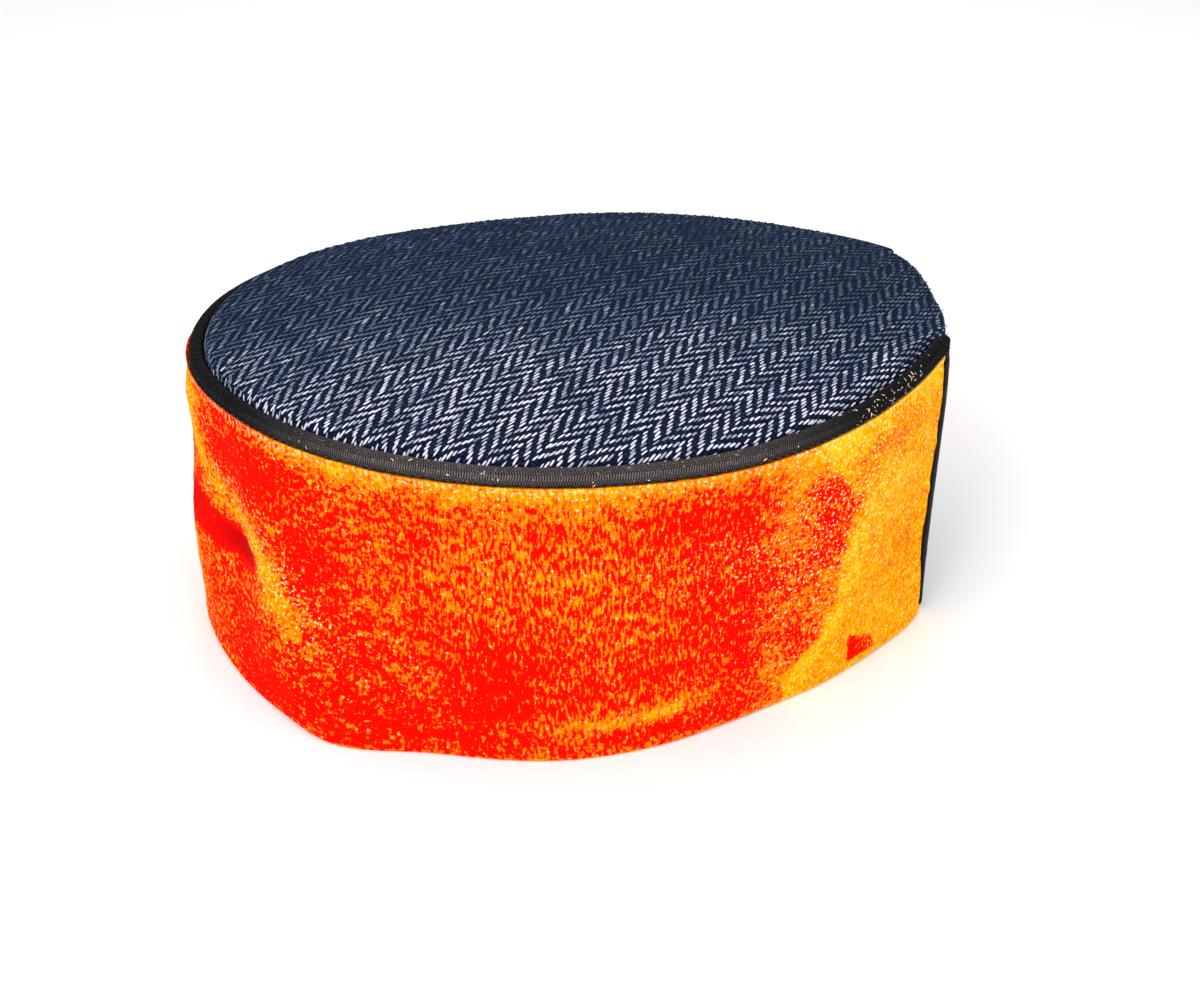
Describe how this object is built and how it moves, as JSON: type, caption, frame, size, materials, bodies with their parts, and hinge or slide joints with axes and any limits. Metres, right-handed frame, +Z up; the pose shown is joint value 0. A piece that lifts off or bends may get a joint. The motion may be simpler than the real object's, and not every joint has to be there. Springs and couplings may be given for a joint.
{
  "type": "pahadi cap",
  "caption": "Flat-topped hill cap of herringbone tweed with a turned-up crushed velvet flap, bound at its edge and open at the back.",
  "frame": {"origin": "middle of the cap's box, on the surface that its hem stands on", "axes": "+Z up through the crown; the wearer's front towards -Y, the flap's opening at the back towards +Y, the wearer's left towards +X"},
  "size_m": [0.1744, 0.2102, 0.0847],
  "materials": {
    "tweed": "navy herringbone twill with pale grey floats, matt",
    "velvet": "crushed velvet, orange to red with the lie of its pile",
    "binding": "black ribbed bias binding with a slight sheen"
  },
  "bodies": {
    "root": {"crown_top": "tweed", "crown_side": "tweed", "velvet_flap": "velvet", "flap_binding": "binding"}
  },
  "joints": []
}
